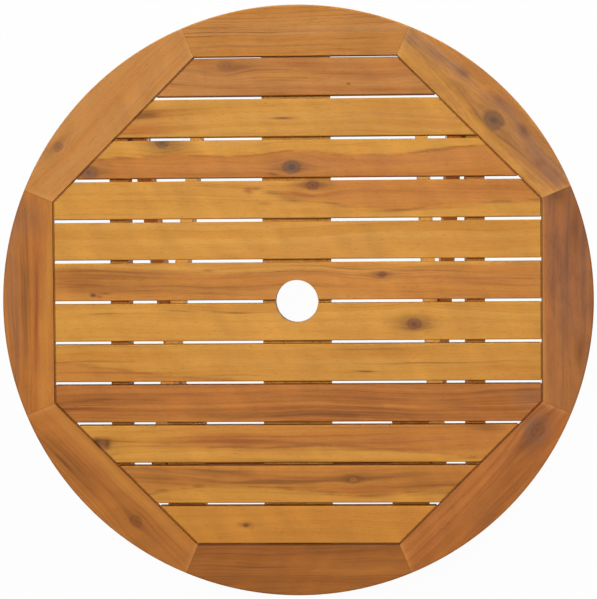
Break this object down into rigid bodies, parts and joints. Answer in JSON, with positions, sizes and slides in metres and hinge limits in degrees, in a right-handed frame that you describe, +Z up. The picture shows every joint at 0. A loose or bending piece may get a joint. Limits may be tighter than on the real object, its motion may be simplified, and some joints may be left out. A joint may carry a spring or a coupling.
{
  "type": "folding garden table",
  "caption": "Round slatted garden table on crossed folding legs: the top hinges on the outer legs, rests on a crossbar between the inner legs and has a parasol hole.",
  "frame": {"origin": "on the floor below the middle of the round top, with the table open", "axes": "+Z up, +X along the slats, +Y across the slats towards the hinge side"},
  "size_m": [0.9, 0.9, 0.75],
  "materials": {
    "slat_wood": "oiled hardwood",
    "ring_wood": "oiled hardwood",
    "under_wood": "oiled hardwood",
    "leg_wood": "oiled hardwood",
    "dowel_wood": "plain dowel rod",
    "plated_steel": "zinc plated",
    "spacer_nylon": "plain nylon"
  },
  "bodies": {
    "outer_legs": {"outer_leg_left": "leg_wood", "outer_leg_right": "leg_wood", "outer_rail": "leg_wood", "outer_rail_screws": "plated_steel", "scissor_sleeves": "plated_steel", "scissor_bolts": "plated_steel", "scissor_spacers": "spacer_nylon"},
    "table_top": {"batten_screws": "plated_steel", "catch_cleat_left": "under_wood", "catch_cleat_right": "under_wood", "centre_board": "under_wood", "centre_board_screws": "plated_steel", "cleat_screws": "plated_steel", "hinge_bolts": "plated_steel", "hinge_sleeves": "plated_steel", "hinge_spacers": "spacer_nylon", "ring_board_1": "ring_wood", "ring_board_2": "ring_wood", "ring_board_3": "ring_wood", "ring_board_4": "ring_wood", "ring_board_5": "ring_wood", "ring_board_6": "ring_wood", "ring_board_7": "ring_wood", "ring_board_8": "ring_wood", "ring_dowels": "dowel_wood", "side_batten_left": "under_wood", "side_batten_right": "under_wood", "slat_01": "slat_wood", "slat_02": "slat_wood", "slat_03": "slat_wood", "slat_04": "slat_wood", "slat_05": "slat_wood", "slat_06": "slat_wood", "slat_07": "slat_wood", "slat_08": "slat_wood", "slat_09": "slat_wood", "slat_10": "slat_wood", "slat_11": "slat_wood", "slat_12": "slat_wood"},
    "inner_legs": {"inner_leg_left": "leg_wood", "inner_leg_right": "leg_wood", "inner_rail": "leg_wood", "inner_rail_dowels": "dowel_wood", "crossbar": "leg_wood"}
  },
  "joints": [
    {"name": "top_fold", "type": "hinge", "parent": "outer_legs", "child": "table_top", "pos_m": [0, 0.24979, 0.693], "axis": [-1, 0, 0], "range_deg": [0, 128.43]},
    {"name": "leg_scissor", "type": "hinge", "parent": "outer_legs", "child": "inner_legs", "pos_m": [0, 0, 0.37814], "axis": [-1, 0, 0], "range_deg": [0, 75.85]}
  ],
  "couplings": [
    {"joint": "leg_scissor", "follows": "top_fold", "ratio": 0.59059}
  ]
}
